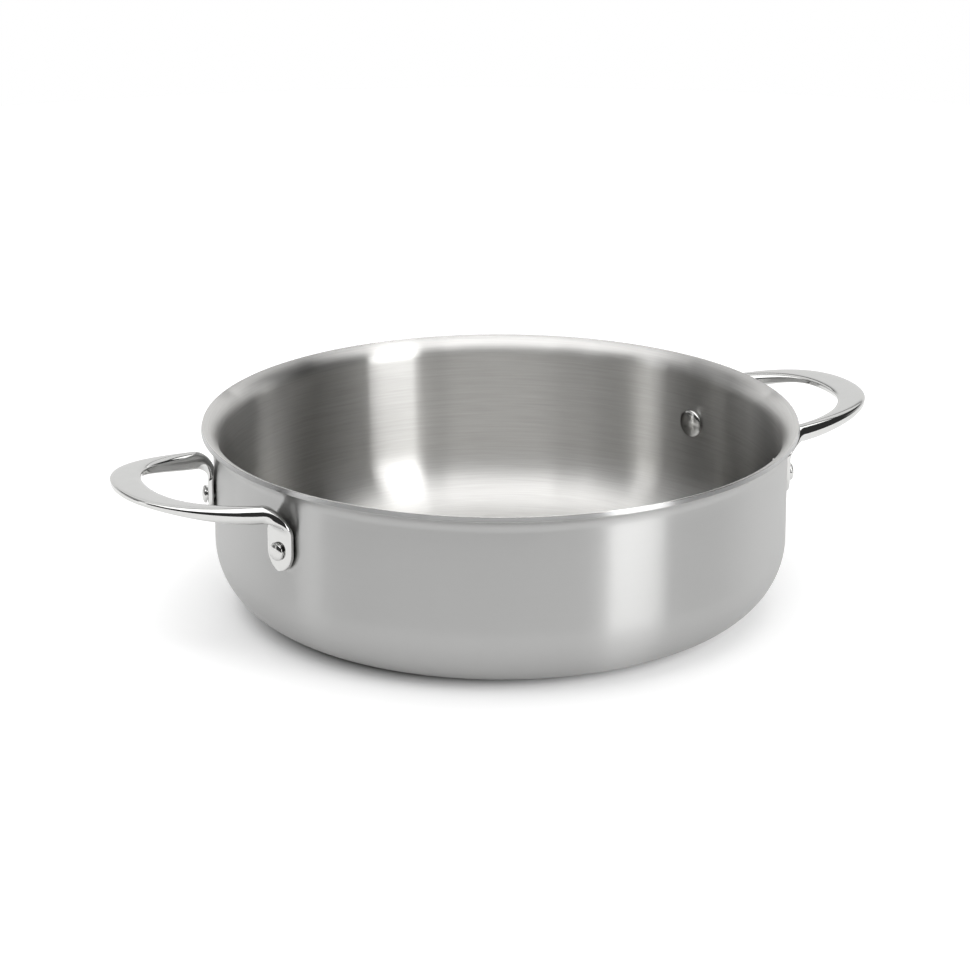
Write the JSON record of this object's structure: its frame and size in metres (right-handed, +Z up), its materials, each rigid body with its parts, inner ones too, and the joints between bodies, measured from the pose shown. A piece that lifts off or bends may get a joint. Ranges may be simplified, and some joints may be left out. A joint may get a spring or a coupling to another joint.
{
  "type": "casserole pot",
  "caption": "Low round casserole pot of clad stainless steel with a flared pouring lip, a rounded base corner and polished loop handles riveted to the wall.",
  "frame": {"origin": "centre of the underside of the base, on the table", "axes": "+X through the right handle, +Y to the back, +Z up out of the pot"},
  "size_m": [0.3802, 0.2794, 0.0882],
  "materials": {
    "satin_steel": "stainless steel, satin, with fine brush lines running round the pot",
    "brushed_steel": "stainless steel, brushed round the inside of the pot",
    "aluminium": "plain rolled, seen only as a line in the edge of the lip",
    "polished_steel": "stainless steel, mirror polished"
  },
  "bodies": {
    "root": {"outer_shell": "satin_steel", "aluminium_core": "aluminium", "inner_liner": "brushed_steel", "handle_right": "polished_steel", "rivet_right_front": "polished_steel", "rivet_right_rear": "polished_steel", "handle_left": "polished_steel", "rivet_left_front": "polished_steel", "rivet_left_rear": "polished_steel"}
  },
  "joints": []
}
